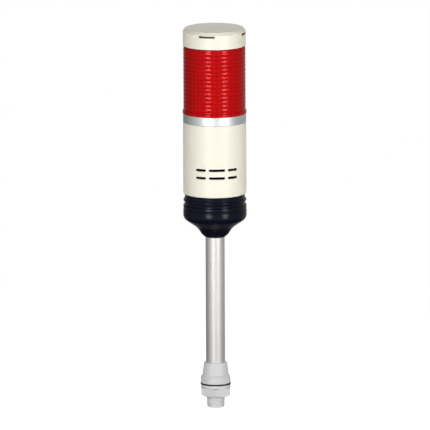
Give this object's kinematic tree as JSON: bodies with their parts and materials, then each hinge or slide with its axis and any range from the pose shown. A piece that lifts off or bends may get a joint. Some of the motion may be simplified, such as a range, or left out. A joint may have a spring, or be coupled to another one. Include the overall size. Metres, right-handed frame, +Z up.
{
  "type": "stack light",
  "caption": "Signal tower with a ridged red lens, slotted cap and louvred sounder housing on a slim tubular pole, held to a panel by a threaded stub with gasket, washer and nut.",
  "frame": {"origin": "on the tower's axis in the panel's top face, where the gasket's underside seats", "axes": "+Z up the tower's axis from the threaded stub to the cap; the louvres face -Y; +X to the right seen from the front"},
  "size_m": [0.0568, 0.0576, 0.3426],
  "materials": {
    "holder_plastic": "smooth light grey moulding",
    "gasket_rubber": "matte black",
    "pole_aluminium": "satin anodised, drawn lengthwise",
    "base_plastic": "smooth, blue-black",
    "cream_plastic": "semi-gloss cream moulding",
    "ring_chrome": "bright, faint fine turning",
    "lens_plastic": "clear red, ridged outside and fluted inside",
    "seal_rubber": "matte black",
    "screw_steel": "zinc plated",
    "washer_steel": "plain",
    "jam_brass": "turned",
    "board_laminate": "green solder resist",
    "sounder_plastic": "black",
    "diaphragm_brass": "rolled sheet",
    "terminal_plastic": "green",
    "capacitor_sleeve": "dark blue sleeve",
    "socket_plastic": "natural",
    "carrier_plastic": "white",
    "lamp_board_laminate": "white solder resist",
    "lamp_resin": "clear red resin"
  },
  "bodies": {
    "tower": {"pole_holder": "holder_plastic", "panel_gasket": "gasket_rubber", "holder_screw": "screw_steel", "pole_tube": "pole_aluminium", "pole_washer": "washer_steel", "pole_nut": "jam_brass", "base_cone": "base_plastic", "base_seal": "seal_rubber", "housing": "cream_plastic", "housing_screw": "screw_steel", "control_board": "board_laminate", "sounder_case": "sounder_plastic", "sounder_diaphragm": "diaphragm_brass", "terminal_block": "terminal_plastic", "terminal_screws": "screw_steel", "capacitor": "capacitor_sleeve", "rectifier": "sounder_plastic", "lamp_socket": "socket_plastic", "trim_ring": "ring_chrome", "lens_seal": "seal_rubber", "lens": "lens_plastic", "led_carrier": "carrier_plastic", "carrier_screws": "screw_steel", "led_board_1": "lamp_board_laminate", "led_1_1": "lamp_resin", "led_1_2": "lamp_resin", "led_1_3": "lamp_resin", "led_1_4": "lamp_resin", "led_board_2": "lamp_board_laminate", "led_2_1": "lamp_resin", "led_2_2": "lamp_resin", "led_2_3": "lamp_resin", "led_2_4": "lamp_resin", "led_board_3": "lamp_board_laminate", "led_3_1": "lamp_resin", "led_3_2": "lamp_resin", "led_3_3": "lamp_resin", "led_3_4": "lamp_resin", "led_board_4": "lamp_board_laminate", "led_4_1": "lamp_resin", "led_4_2": "lamp_resin", "led_4_3": "lamp_resin", "led_4_4": "lamp_resin"},
    "washer_stack": {"lock_washer": "holder_plastic"},
    "nut": {"lock_nut": "holder_plastic"},
    "seal_ring": {"cap_seal": "seal_rubber"},
    "cap": {"top_cap": "cream_plastic"}
  },
  "joints": [
    {"name": "washer_slide", "type": "slide", "parent": "tower", "child": "washer_stack", "axis": [0, 0, -1], "range_m": [0, 0.009]},
    {"name": "nut_turn", "type": "hinge", "parent": "washer_stack", "child": "nut", "pos_m": [0, 0, -0.0069], "axis": [0, 0, -1], "range_deg": [0, 2160]},
    {"name": "cap_lift", "type": "slide", "parent": "tower", "child": "seal_ring", "axis": [0, 0, 1], "range_m": [0, 0.008]},
    {"name": "cap_turn", "type": "hinge", "parent": "seal_ring", "child": "cap", "pos_m": [0, 0, 0.3142], "axis": [0, 0, 1], "range_deg": [0, 720]}
  ],
  "couplings": [
    {"joint": "nut_turn", "follows": "washer_slide", "rad_per_m": 4188.7},
    {"joint": "cap_turn", "follows": "cap_lift", "rad_per_m": 1570.7}
  ]
}
